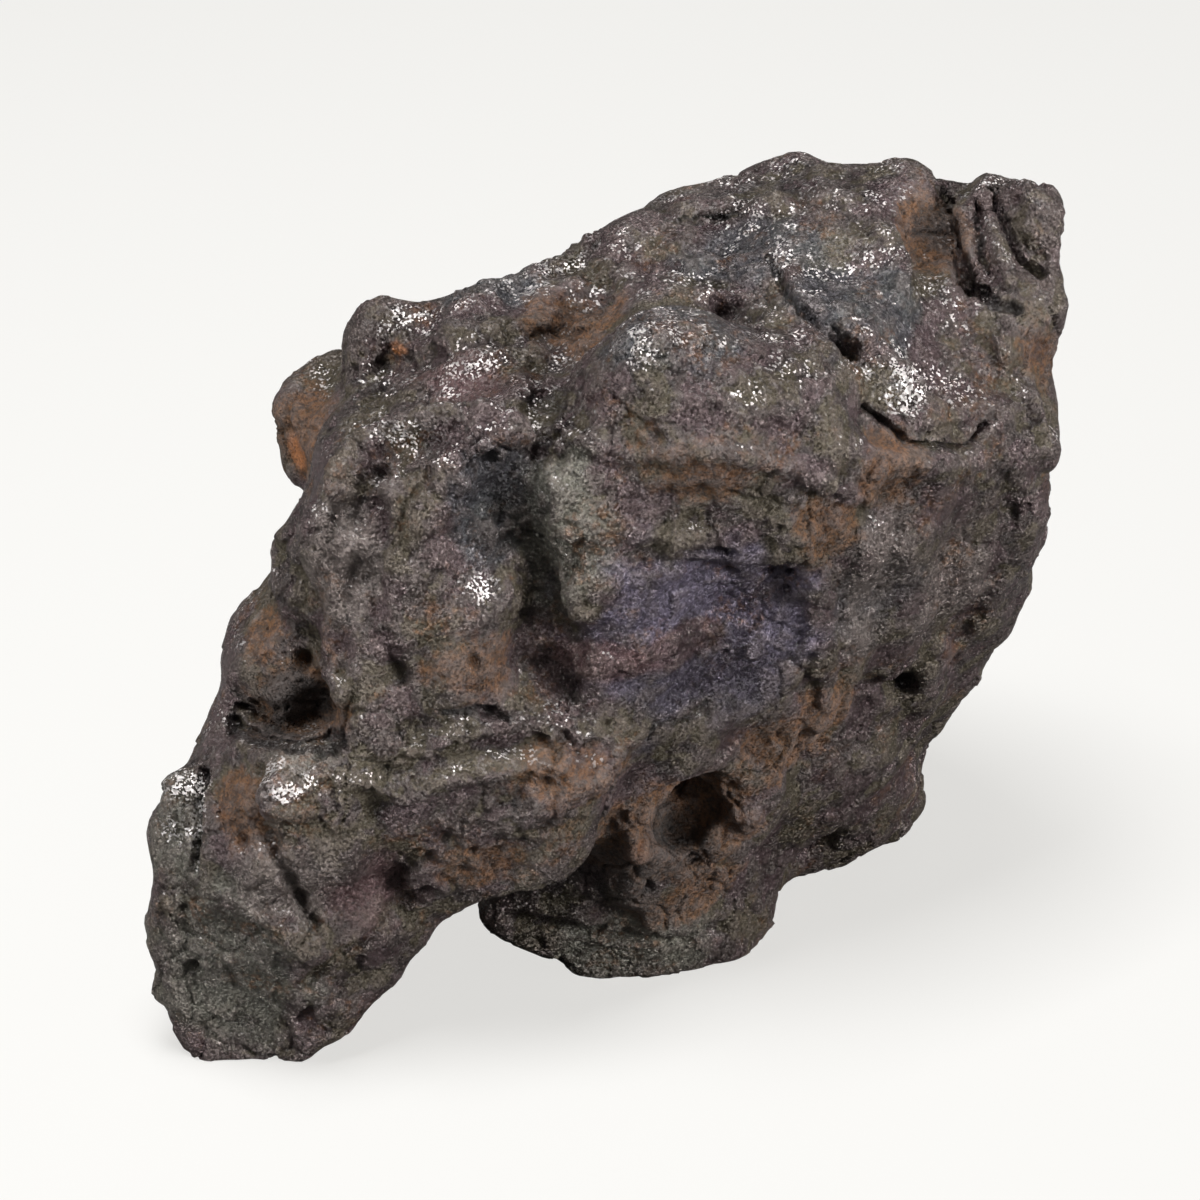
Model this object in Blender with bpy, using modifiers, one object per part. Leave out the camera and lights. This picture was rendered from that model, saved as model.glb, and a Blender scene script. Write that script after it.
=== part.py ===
"""An iron meteorite, built as the one solid lump of metal that it is.

The stone is hewn from a few convex chunks and worn round. Strokes then work the skin
over: hollows, swellings and grooves, and the shallow thumbprints that its fall through
the air melted into it. It stands on the flat undersides of its four feet.

Lengths are in millimetres until metres() turns them into Blender's units.
X runs to the right, Y away from the front, Z up.
"""

import bmesh
import bpy
import numpy as np
from mathutils import Matrix, Vector, noise

NAME = "meteorite"
MM = 0.001

ROUGH_VOXEL = 1.3  # grain of the skin that fuses the chunks
WEAR_PASSES = 14  # smoothing that wears the hewn edges round
WEAR_FACTOR = 0.5  # how far one pass moves a point towards its neighbours
FINE_VOXEL = 0.9  # grain of the skin after the strokes
FINE_PASSES = 2
TRIANGLE_GOAL = 9000

IRON_COLOUR = (0.055, 0.042, 0.036, 1)
IRON_ROUGHNESS = 0.45
IRON_METALLIC = 0.6

# The corners of the rough-hewn chunks. They overlap, so that they fuse into one skin.
CHUNKS = {
    "body": [
        (-6, 14, 74), (2, 18, 75), (12, 27, 78), (21, 29, 80), (28, 25, 82), (36, 22, 80), (41, 20, 79),
        (-6, -10, 70), (2, -15, 73), (12, -16, 72), (20, -14, 69), (28, -12, 65), (36, -8, 62), (46, 2, 57),
        (47, 12, 66), (-4, -17, 60), (-2, -18, 50), (0, -18, 32), (17, -10, 26), (27, -6, 40), (33, 8, 14),
        (20, 0, 8), (5, -12, 12), (-14, 28, 60), (8, 38, 64), (22, 42, 56), (38, 36, 52), (-20, 36, 42),
        (8, 44, 36), (35, 36, 25), (-20, 32, 20), (10, 36, 10), (44, 10, 36), (39, 14, 26), (38, 17, 14),
    ],
    "top_crest": [
        (10, 27, 76), (15, 30, 79), (21, 29, 81), (27, 25, 82), (22, 18, 79), (12, 20, 76), (18, 36, 72),
    ],
    "right_crest": [
        (38, 21, 80), (41, 20, 83), (46, 18, 83), (48, 14, 80), (47, 10, 67), (46, 6, 60), (38, 10, 76),
        (36, 6, 66), (45, 28, 70), (38, 28, 72), (40, 2, 58),
    ],
    "right_flank": [
        (46, 2, 60), (48, 6, 55), (48, 6, 49), (46, -1, 52), (45, 10, 36), (38, 1, 58), (38, -3, 46),
        (34, 3, 30), (40, 22, 50), (38, 24, 30),
    ],
    "left_shoulder": [
        (-26, -13, 65), (-15, -18, 70), (-8, -17, 71), (-33, -8, 49), (-31, -3, 57), (-12, -20, 44),
        (-24, -20, 42), (-35, -10, 45), (-15, 10, 72), (-8, 12, 72), (-23, 10, 66), (-18, 28, 56),
        (-30, 18, 38), (0, -8, 70), (-3, -10, 44), (-30, 6, 58),
    ],
    "left_leg": [
        (-38, -12, 38), (-33, -20, 35), (-28, -22, 36), (-42, -16, 31), (-45, -20, 21), (-47, -20, 11),
        (-47, -21, 6), (-44, -21, -1), (-39, -24, -4), (-32, -25, -4), (-25, -20, 5), (-30, -25, 28),
        (-16, -20, 15), (-36, 8, 35), (-41, -4, 5), (-31, -8, -3), (-20, 2, 20), (-36, -9, 46), (-28, 8, 48),
    ],
    "belly": [
        (-30, -25, 28), (-17, -20, 13), (-1, -20, 22), (2, -19, 34), (-12, -19, 42), (-24, -19, 42),
        (-27, -6, 20), (0, -4, 25), (-28, 8, 45), (0, 0, 45),
    ],
    "core": [
        (-32, -10, 22), (-32, 6, 24), (-20, -14, 19), (-2, -14, 20), (-4, 10, 16), (-18, 16, 18), (-26, 14, 28),
        (-8, -4, 56), (-26, 0, 56), (4, 0, 18), (4, 14, 16),
    ],
    "middle_foot": [
        (-14, -6, 7), (-8, -8, 1), (1, -8, -3), (15, -5, -3), (20, 1, 0), (21, 2, 8), (5, -14, 13),
        (-8, -8, 17), (16, -8, 22), (0, -12, 22), (-10, 10, 8), (16, 14, -2), (-2, 12, -1),
        (24, 14, 4),
    ],
    "right_foot": [
        (20, 6, 0), (23, 11, -3), (30, 18, -4), (37, 19, 5), (38, 17, 14), (33, 7, 15), (34, 28, -2),
        (24, 34, -3), (18, 20, -2), (30, 36, 20), (14, 34, 20),
    ],
    "left_back": [
        (-30, 8, 48), (-35, 6, 30), (-26, 26, 40), (-24, 28, 28), (-10, 20, 18), (-26, 6, 18), (-10, 10, 42),
        (-30, 18, 38), (-18, 28, 56),
    ],
    "back_foot": [
        (-20, 22, -3), (-10, 33, -3), (-20, 33, -2), (-6, 22, -3), (-27, 30, 24), (-18, 38, 30), (4, 38, 24),
        (-24, 14, 24), (2, 10, 14), (0, 28, 4),
    ],
    "shoulder_knob": [
        (-26, 8, 69), (-24, 12, 72), (-20, 8, 71), (-27, 14, 61), (-15, 12, 71), (-25, 2, 60), (-15, 4, 62),
        (-15, 14, 60),
    ],
    "back_left_knob": [
        (-35, 12, 59), (-35, 10, 51), (-31, 17, 62), (-27, 17, 63), (-32, 22, 46), (-20, 24, 55), (-26, 2, 46),
        (-28, 4, 56),
    ],
}


# Hollows: centre, radii along X, Y and Z, and depth. A negative depth raises a swelling.
HOLLOWS = {
    "front hollow": ((10, -15, 46), (17, 10, 12), 4.0),
    "rusty valley": ((-3, 0, 74), (8, 10, 6), 3.0),
    "head of the crease": ((-5, -11, 72), (5, 6, 6), 2.0),
    "dome": ((6, -8, 74), (11, 9, 6), -2.2),
    "top pit": ((13, 0, 76), (5.5, 3.5, 4), 3.2),
    "brown hollow": ((33, 12, 77), (4.5, 8, 6), 4.5),
    "dip before the right face": ((24, 4, 76), (7, 8, 6), 1.2),
    "notch in the crest": ((38, 21, 80), (2.5, 5, 3), 2.0),
    "shoulder scoop": ((-11, -19, 59), (6, 6, 9), 3.2),
    "shoulder ridge": ((-25, -15, 57), (6, 6, 8), -1.6),
    "hollow behind the shoulder": ((-23, 3, 67), (4, 5, 4), 1.6),
    "pocket": ((-31, -16, 39), (6.5, 6, 4.5), 6.5),
    "pocket end": ((-36, -14, 38), (4, 5, 3.5), 2.5),
    "pocket pit": ((-29, -15, 45), (2.5, 3, 2.5), 2.2),
    "hump": ((-31, -22, 32), (4.5, 4, 4), -2.2),
    "leg dent": ((-29, -24, 21), (6, 5, 6), 1.4),
    "slab": ((-44, -18, 26), (4, 6, 7), -1.2),
    "arm": ((-10, -20, 31), (9, 5, 6), -1.4),
    "deep pit": ((9.5, -12, 24), (6.6, 6, 5.6), 8.0),
    "pit lip": ((10, -14, 31), (9, 5, 3.5), -1.2),
    "rusty nub": ((4, -14, 21), (3, 3, 3.5), -1.6),
    "nub hollow": ((0.5, -15, 25), (2, 4, 2.5), 2.4),
    "foot dent": ((2, -13, 9), (5, 4, 4), 1.4),
    "right ledge dip": ((30, -10, 58), (8, 6, 5), 2.2),
    "right face": ((28, -9, 46), (8, 7, 8), 1.2),
    "twin pit": ((19, -14, 52), (2, 3, 2), 2.2),
    "brow": ((8, -14, 64), (13, 6, 5), -1.4),
    "right lobe": ((30, 2, 20), (8, 8, 8), -1.6),
    "gap before the lobe": ((22, -6, 22), (4, 6, 9), 1.8),
    "flank hollow": ((37, 0, 38), (6, 6, 7), 2.4),
    "flank pit": ((32, 0, 31), (3, 4, 3), 3.0),
    "right edge hollow": ((46, 7, 66), (5, 7, 6), 1.8),
    "left edge hollow": ((-35, -9, 46), (4, 7, 5), 1.4),
    "back hollow": ((4, 43, 47), (15, 10, 13), 4.5),
    "back left hollow": ((-24, 30, 38), (9, 9, 8), 2.8),
    "back right hollow": ((31, 38, 42), (8, 8, 11), 3.0),
    "back upper hollow": ((-4, 32, 64), (9, 8, 6), 2.4),
    "right end hollow": ((46, 20, 52), (6, 7, 9), 2.6),
    "hollow under the back": ((0, 38, 22), (10, 9, 6), 2.8),
}

# Grooves: the points that they run through, width and depth.
GROOVES = {
    "crease": ([(-7, -13, 71), (-6, -15, 66), (-4, -16, 59), (-5, -17, 51)], 4.0, 1.6),
    "slit under the shoulder": ([(-19, -20, 39), (-14, -21, 40), (-8, -19, 41)], 2.0, 1.4),
    "slab crack": ([(-40, -18, 33), (-41, -21, 28), (-42, -22, 23)], 1.8, 1.6),
    "arm fold": ([(-23, -22, 31), (-21, -23, 24), (-20, -22, 17)], 3.0, 1.4),
    "top crack": ([(17, 5, 77), (20, 0, 75), (25, -4, 73)], 1.8, 1.8),
    "ledge crack": ([(26, -9, 68), (30, -9, 65), (34, -7, 63), (38, -3, 64)], 2.2, 1.4),
    "lobe crease": ([(8, 17, 77), (14, 17, 78), (18, 20, 80)], 1.8, 1.4),
    "crest groove left": ([(36, 22, 80), (36, 15, 78), (38, 8, 74)], 2.2, 3.0),
    "crest groove middle": ([(39, 17, 80), (40, 10, 76)], 1.5, 1.6),
    "crest groove right": ([(41, 19, 82), (42, 13, 78), (45, 9, 75)], 2.2, 2.8),
}

THUMBPRINT_SPACING = 9.0
THUMBPRINT_DEPTH = 1.6
THUMBPRINT_LEVEL = 0.5  # how far from a thumbprint's middle, in spacings, the skin keeps its height
LUMP_SPACING = 15.0
LUMP_HEIGHT = 2.2
LUMP_OCTAVES = 5
LUMP_FADING = 1.0  # how fast the finer lumps get lower
LUMP_STEP = 2.0  # how many times finer each octave is


def metres(point):
    """A point in millimetres as Blender's metres."""
    return Vector(point) * MM


def clear_scene():
    """Removes the objects that Blender starts with."""
    for obj in list(bpy.data.objects):
        bpy.data.objects.remove(obj)


def hewn_chunks():
    """A mesh that holds every chunk as its own convex hull."""
    build = bmesh.new()
    for corners in CHUNKS.values():
        verts = [build.verts.new(metres(corner)) for corner in corners]
        made = bmesh.ops.convex_hull(build, input=verts)
        loose = {item for item in made["geom_interior"] if isinstance(item, bmesh.types.BMVert)}
        bmesh.ops.delete(build, geom=list(loose), context="VERTS")
    bmesh.ops.recalc_face_normals(build, faces=build.faces)
    mesh = bpy.data.meshes.new("chunks")
    build.to_mesh(mesh)
    build.free()
    return mesh


def modified(mesh, *steps):
    """The mesh after a chain of modifiers, each given as its type and its settings."""
    obj = bpy.data.objects.new("work", mesh)
    bpy.context.scene.collection.objects.link(obj)
    for kind, settings in steps:
        modifier = obj.modifiers.new(kind.lower(), kind)
        for name, value in settings.items():
            setattr(modifier, name, value)
    graph = bpy.context.evaluated_depsgraph_get()
    result = bpy.data.meshes.new_from_object(obj.evaluated_get(graph))
    bpy.data.objects.remove(obj)
    return result


def fused(mesh):
    """The chunks as one skin, with the hewn edges worn round."""
    return modified(
        mesh,
        ("REMESH", {"mode": "VOXEL", "voxel_size": ROUGH_VOXEL * MM}),
        ("SMOOTH", {"factor": WEAR_FACTOR, "iterations": WEAR_PASSES}),
    )


def dome_profile(distance):
    """One at the middle of a stroke, falling smoothly to nothing at distance one."""
    return np.clip(1 - distance**2, 0, None) ** 2


def distance_to_path(points, path):
    """How far each point lies from a line of straight pieces."""
    nearest = np.full(len(points), np.inf)
    for start, end in zip(path[:-1], path[1:]):
        start, along = np.array(start, float), np.subtract(end, start)
        share = np.clip((points - start) @ along / (along @ along), 0, 1)
        gap = np.linalg.norm(points - start - share[:, None] * along, axis=1)
        nearest = np.minimum(nearest, gap)
    return nearest


def pushed(points, normals, profile, depth):
    """The points moved inwards, all along the mean normal of the skin under the stroke."""
    inwards = -(normals * profile[:, None]).sum(axis=0)
    return points + (depth * profile)[:, None] * (inwards / np.linalg.norm(inwards))


def weathering(point):
    """Height of the thumbprints and the lumps at a point, in millimetres."""
    spot = Vector(point)
    nearest = noise.voronoi(spot / THUMBPRINT_SPACING)[0][0]
    lump = noise.fractal(spot / LUMP_SPACING, LUMP_FADING, LUMP_STEP, LUMP_OCTAVES)
    return THUMBPRINT_DEPTH * (nearest - THUMBPRINT_LEVEL) + LUMP_HEIGHT * lump


def worked(mesh):
    """The skin after every stroke, on a fine and even mesh."""
    points, normals = (np.empty(3 * len(mesh.vertices)) for _ in range(2))
    mesh.vertices.foreach_get("co", points)
    mesh.vertices.foreach_get("normal", normals)
    points, normals = points.reshape(-1, 3) / MM, normals.reshape(-1, 3)
    start = points.copy()
    for centre, radii, depth in HOLLOWS.values():
        distance = np.linalg.norm((start - centre) / radii, axis=1)
        points = pushed(points, normals, dome_profile(distance), depth)
    for path, width, depth in GROOVES.values():
        distance = distance_to_path(start, path) / width
        points -= (depth * dome_profile(distance))[:, None] * normals
    heights = np.array([weathering(point) for point in start])
    points += heights[:, None] * normals
    mesh.vertices.foreach_set("co", (points * MM).ravel())
    return modified(
        mesh,
        ("REMESH", {"mode": "VOXEL", "voxel_size": FINE_VOXEL * MM}),
        ("SMOOTH", {"factor": WEAR_FACTOR, "iterations": FINE_PASSES}),
        ("TRIANGULATE", {}),
    )


def lightened(mesh):
    """The skin with only as many triangles as its shape needs."""
    return modified(mesh, ("DECIMATE", {"ratio": TRIANGLE_GOAL / len(mesh.polygons)}))


def grounded(mesh):
    """The stone cut off level at the ground, so that its feet are flat."""
    build = bmesh.new()
    build.from_mesh(mesh)
    everything = build.verts[:] + build.edges[:] + build.faces[:]
    cut = bmesh.ops.bisect_plane(build, geom=everything, plane_no=(0, 0, 1), clear_inner=True)
    rims = [item for item in cut["geom_cut"] if isinstance(item, bmesh.types.BMEdge)]
    bmesh.ops.holes_fill(build, edges=rims)
    bmesh.ops.triangulate(build, faces=build.faces)
    build.to_mesh(mesh)
    build.free()
    return mesh


def centred(mesh):
    """The stone with the middle of its footprint box over the origin."""
    corners = np.empty(3 * len(mesh.vertices))
    mesh.vertices.foreach_get("co", corners)
    corners = corners.reshape(-1, 3)
    middle = (corners.min(axis=0) + corners.max(axis=0)) / 2
    mesh.transform(Matrix.Translation((-middle[0], -middle[1], 0)))
    return mesh


def iron():
    """Weathered nickel iron under a dark brown crust."""
    material = bpy.data.materials.new("meteoritic_iron")
    material.use_nodes = True
    surface = material.node_tree.nodes["Principled BSDF"]
    surface.inputs["Base Color"].default_value = IRON_COLOUR
    surface.inputs["Roughness"].default_value = IRON_ROUGHNESS
    surface.inputs["Metallic"].default_value = IRON_METALLIC
    return material


def main():
    clear_scene()
    skin = centred(grounded(lightened(worked(fused(hewn_chunks())))))
    skin.materials.append(iron())
    stone = bpy.data.objects.new(NAME, skin)
    group = bpy.data.collections.new(NAME)
    bpy.context.scene.collection.children.link(group)
    group.objects.link(stone)


if __name__ == "__main__":
    main()
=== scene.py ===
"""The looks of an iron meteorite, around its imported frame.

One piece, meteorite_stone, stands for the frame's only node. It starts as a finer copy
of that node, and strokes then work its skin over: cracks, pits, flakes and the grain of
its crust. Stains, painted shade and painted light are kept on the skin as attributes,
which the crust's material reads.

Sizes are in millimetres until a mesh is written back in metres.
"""

import logging
import math
import random
from dataclasses import dataclass, field
from enum import Enum

import bmesh
import bpy
import numpy as np
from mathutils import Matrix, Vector, noise


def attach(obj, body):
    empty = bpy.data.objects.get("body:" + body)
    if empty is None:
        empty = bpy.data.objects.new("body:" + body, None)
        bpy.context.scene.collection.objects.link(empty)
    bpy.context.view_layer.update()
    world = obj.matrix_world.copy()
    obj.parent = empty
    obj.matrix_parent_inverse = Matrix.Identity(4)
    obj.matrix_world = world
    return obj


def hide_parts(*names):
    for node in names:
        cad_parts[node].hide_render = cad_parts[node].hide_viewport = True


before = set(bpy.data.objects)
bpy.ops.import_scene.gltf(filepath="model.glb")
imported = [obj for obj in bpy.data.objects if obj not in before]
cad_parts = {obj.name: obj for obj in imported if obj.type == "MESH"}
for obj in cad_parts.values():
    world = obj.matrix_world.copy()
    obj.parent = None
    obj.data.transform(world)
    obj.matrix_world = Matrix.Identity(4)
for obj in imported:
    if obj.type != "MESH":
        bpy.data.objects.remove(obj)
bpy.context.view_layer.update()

MM = 0.001
LOG = logging.getLogger("meteorite")

Point = tuple[float, float, float]

LIFT_ALLOWANCE = 0.8  # The share of its height over the skin that a line may have for nothing.


class Stain(Enum):
    """What marks the crust: stains, painted shade and painted light. A stain's value is the name of its attribute."""

    RUST = "rust"
    EMBER = "ember"
    SHEEN = "sheen"
    PATINA = "patina"
    # Painted light: lighter patches on the flanks, the left ridge and the leg, where the light falls.
    PAINTED_LIGHT = "painted_light"
    # Painted shade: a darker colour laid in the pocket, hollows, around the pit and in the cracks.
    PAINTED_SHADE = "painted_shade"
    GLINT = "glint"
    SLATE = "slate"
    BLUSH = "blush"


@dataclass(frozen=True)
class Dent:
    """A rounded hollow in the skin, or a swelling where its depth is negative."""

    centre: Point
    radii: Point
    depth: float


@dataclass(frozen=True)
class Cut:
    """A crack, groove or fold along a path, which may widen and deepen towards its end.

    It is pressed along its direction, or into the skin where it has none. A low softness
    gives it steep walls, and a negative depth makes it a ridge.
    """

    path: tuple[Point, ...]
    width: float
    depth: float
    widening: float = 1.0
    softness: float = 2.0
    direction: Point | None = None


@dataclass(frozen=True)
class Patch:
    """A stain, painted shade or painted light, fading out at the edge of an ellipsoid."""

    stain: Stain
    centre: Point
    radii: Point
    strength: float


def dome(distance: np.ndarray, softness: float = 2.0) -> np.ndarray:
    """One at the middle of a stroke, falling to nothing at distance one."""
    return np.clip(1 - np.clip(distance, 0, None) ** 2, 0, None) ** softness


def smooth_step(values: np.ndarray, low: float, high: float) -> np.ndarray:
    """Nothing below low, one above high and a soft rise between them."""
    share = np.clip((values - low) / (high - low), 0, 1)
    return share * share * (3 - 2 * share)


class Skin:
    """The points and normals of a mesh, in millimetres, while strokes move them."""

    def __init__(self, mesh: bpy.types.Mesh) -> None:
        """Reads the mesh.

        Args:
            mesh: the mesh to read, in metres.
        """
        self.mesh = mesh
        self.points = self._read("co") / MM
        self.normals = self._read("normal")

    def _read(self, name: str) -> np.ndarray:
        """One row of three numbers for each vertex."""
        values = np.empty(3 * len(self.mesh.vertices), np.float64)
        self.mesh.vertices.foreach_get(name, values)
        return values.reshape(-1, 3)

    def write(self) -> None:
        """Puts the moved points back in the mesh and takes its new normals."""
        self.mesh.vertices.foreach_set("co", (self.points * MM).ravel())
        self.mesh.update()
        self.normals = self._read("normal")

    def edges(self) -> np.ndarray:
        """The two ends of each edge."""
        ends = np.empty(2 * len(self.mesh.edges), np.int32)
        self.mesh.edges.foreach_get("vertices", ends)
        return ends.reshape(-1, 2)

    def averaged(self, values: np.ndarray, passes: int) -> np.ndarray:
        """The values after each vertex takes the mean of its neighbours, again and again.

        Args:
            values: one number or one row for each vertex.
            passes: how many times to average.

        Returns:
            The averaged values.
        """
        ends = self.edges()
        count = np.bincount(ends.ravel(), minlength=len(values)).astype(float)
        columns = values.reshape(len(values), -1)
        for _ in range(passes):
            total = np.empty_like(columns)
            for axis in range(columns.shape[1]):
                column = columns[:, axis]
                total[:, axis] = np.bincount(ends[:, 0], column[ends[:, 1]], len(values))
                total[:, axis] += np.bincount(ends[:, 1], column[ends[:, 0]], len(values))
            columns = total / count[:, None]
        return columns.reshape(values.shape)

    def dent(self, strokes: list[Dent]) -> None:
        """Presses each hollow in along the mean normal of the skin under it."""
        start = self.points.copy()
        for stroke in strokes:
            distance = np.linalg.norm((start - stroke.centre) / np.array(stroke.radii), axis=1)
            near = distance < 1
            profile = dome(distance[near])
            inwards = -(self.normals[near] * profile[:, None]).sum(axis=0)
            inwards /= max(np.linalg.norm(inwards), 1e-9)
            self.points[near] += (stroke.depth * profile)[:, None] * inwards

    def cut(self, strokes: list[Cut], raggedness: float) -> None:
        """Cuts each groove, with a ragged edge.

        Args:
            strokes: the grooves.
            raggedness: how far an edge strays, as a share of the groove's width.
        """
        start = self.points.copy()
        for stroke in strokes:
            reach = stroke.width * (max(stroke.widening, 1) + 2 * raggedness) + 1.0
            low = np.min(stroke.path, axis=0) - reach
            high = np.max(stroke.path, axis=0) + reach
            near = np.flatnonzero(((start > low) & (start < high)).all(axis=1))
            spots = start[near]
            stray = raggedness * stroke.width * fractal(spots, 1.6, 2, seed=3.0)
            gap, along = distance_to_path(spots, self.normals[near], stroke.path)
            growth = 1 + (stroke.widening - 1) * along
            profile = dome((gap + stray) / (stroke.width * growth), stroke.softness)
            inwards = -self.normals[near] if stroke.direction is None else np.array(stroke.direction)
            self.points[near] += (stroke.depth * growth * profile)[:, None] * inwards

    def sharpen(self, strength: np.ndarray, passes: int) -> None:
        """Makes ridges stand out and hollows sink in.

        Args:
            strength: the share of each vertex's rise or fall that is added again.
            passes: how many averaging passes a rise or fall is measured against.
        """
        depth = ((self.averaged(self.points, passes) - self.points) * self.normals).sum(axis=1)
        self.raise_by(-strength * depth)

    def raise_by(self, heights: np.ndarray) -> None:
        """Moves every point along its normal by its own height."""
        self.points += heights[:, None] * self.normals


def distance_to_path(
    points: np.ndarray, normals: np.ndarray, path: tuple[Point, ...]
) -> tuple[np.ndarray, np.ndarray]:
    """How far each point lies from a line of straight pieces, across the skin.

    Height above or below the skin counts for little, so that a line which runs a little
    off it still marks it.

    Args:
        points: the points.
        normals: the skin's normal at each point.
        path: the corners of the line.

    Returns:
        The distances, and how far along the line, from 0 to 1, each point's nearest spot is.
    """
    nearest = np.full(len(points), np.inf)
    along = np.zeros(len(points))
    for index, (start, end) in enumerate(zip(path[:-1], path[1:])):
        first, run = np.array(start), np.subtract(end, start)
        share = np.clip((points - first) @ run / (run @ run), 0, 1)
        offset = points - first - share[:, None] * run
        height = (offset * normals).sum(axis=1)
        gap = np.linalg.norm(offset - LIFT_ALLOWANCE * height[:, None] * normals, axis=1)
        closer = gap < nearest
        nearest[closer] = gap[closer]
        along[closer] = (index + share[closer]) / (len(path) - 1)
    return nearest, along


def fractal(points: np.ndarray, spacing: float, octaves: int, seed: float = 0.0) -> np.ndarray:
    """Fractal noise of about -1 to 1 at each point.

    Args:
        points: where to take it.
        spacing: the size of its largest features.
        octaves: how many finer layers it has.
        seed: shifts the pattern.

    Returns:
        One value for each point.
    """
    spots = points / spacing + seed * 17.3
    return np.array([noise.fractal(spot, 1.0, 2.0, octaves) for spot in spots.tolist()])


def ridges(points: np.ndarray, spacing: float, octaves: int) -> np.ndarray:
    """Noise with sharp crests, of about 0 to 1, at each point."""
    spots = (points / spacing).tolist()
    return np.array([noise.ridged_multi_fractal(s, 1.0, 2.0, octaves, 1.0, 2.0) for s in spots]) / 2


def facet_heights(points: np.ndarray, spacing: float, tilt: float) -> np.ndarray:
    """The height of small broken planes, each tilted its own way.

    Args:
        points: where to take it.
        spacing: the usual size of a plane, in millimetres.
        tilt: the steepest slope of a plane.

    Returns:
        One height for each point, in millimetres.
    """
    heights = np.empty(len(points))
    for row, spot in enumerate((points / spacing).tolist()):
        middle = noise.voronoi(spot)[1][0]
        heights[row] = (Vector(spot) - middle).dot(noise.noise_vector(middle * 41.7))
    return spacing * tilt * heights


def seam_gaps(points: np.ndarray, spacing: float) -> np.ndarray:
    """How far each point lies from the seam between two cells, in spacings."""
    distances = [noise.voronoi(spot)[0] for spot in (points / spacing).tolist()]
    return np.array([second - first for first, second, *_ in distances])


@dataclass
class Relief:
    """The fine relief of the crust, in millimetres."""

    lump_spacing: float = 5.0
    lump_height: float = 0.13
    ledge_spacing: float = 6.0
    ledge_height: float = 0.07
    ledge_steepness: float = 6.0
    ridge_spacing: float = 6.0
    ridge_height: float = 0.12
    facet_spacing: float = 5.5
    facet_tilt: float = 0.15
    chip_spacing: float = 2.1
    chip_tilt: float = 0.10
    grain_spacing: float = 1.1
    grain_height: float = 0.055
    streak_height: float = 0.22
    seam_spacing: float = 6.5
    seam_depth: float = 0.42
    seam_width: float = 0.09
    warp: float = 1.6

    def heights(self, points: np.ndarray, calm: np.ndarray, combed: np.ndarray) -> np.ndarray:
        """The relief's height at each point.

        Args:
            points: where to take it.
            calm: how smooth the crust is there, from 0 to 1.
            combed: how streaked the crust is there, from 0 to 1.

        Returns:
            One height for each point.
        """
        lumps = self.lump_height * fractal(points, self.lump_spacing, 4, seed=1.0)
        terrain = fractal(points, self.ledge_spacing, 4, seed=2.0)
        ledges = self.ledge_height * np.tanh(self.ledge_steepness * terrain)
        crests = self.ridge_height * (ridges(points, self.ridge_spacing, 4) - 0.5)
        bent = points + self.warp * np.stack([fractal(points, 5.0, 2, seed=s) for s in (11.0, 12.0, 13.0)], axis=1)
        facets = facet_heights(bent, self.facet_spacing, self.facet_tilt)
        broken = smooth_step(fractal(points, 11.0, 2, seed=14.0), -0.1, 0.3)
        seams = self.seam_depth * broken * smooth_step(-seam_gaps(bent, self.seam_spacing), -self.seam_width, 0)
        chips = facet_heights(points, self.chip_spacing, self.chip_tilt)
        grain = self.grain_height * fractal(points, self.grain_spacing, 2, seed=4.0)
        along = points * (0.12, 0.5, 0.9) + 0.6 * np.sin(points[:, :1] * 0.22)
        streaks = self.streak_height * fractal(along, 1.0, 3, seed=5.0)
        rough = lumps + ledges + crests + facets + chips
        return (rough - seams) * (1 - 0.6 * calm) + grain + streaks * combed


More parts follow.
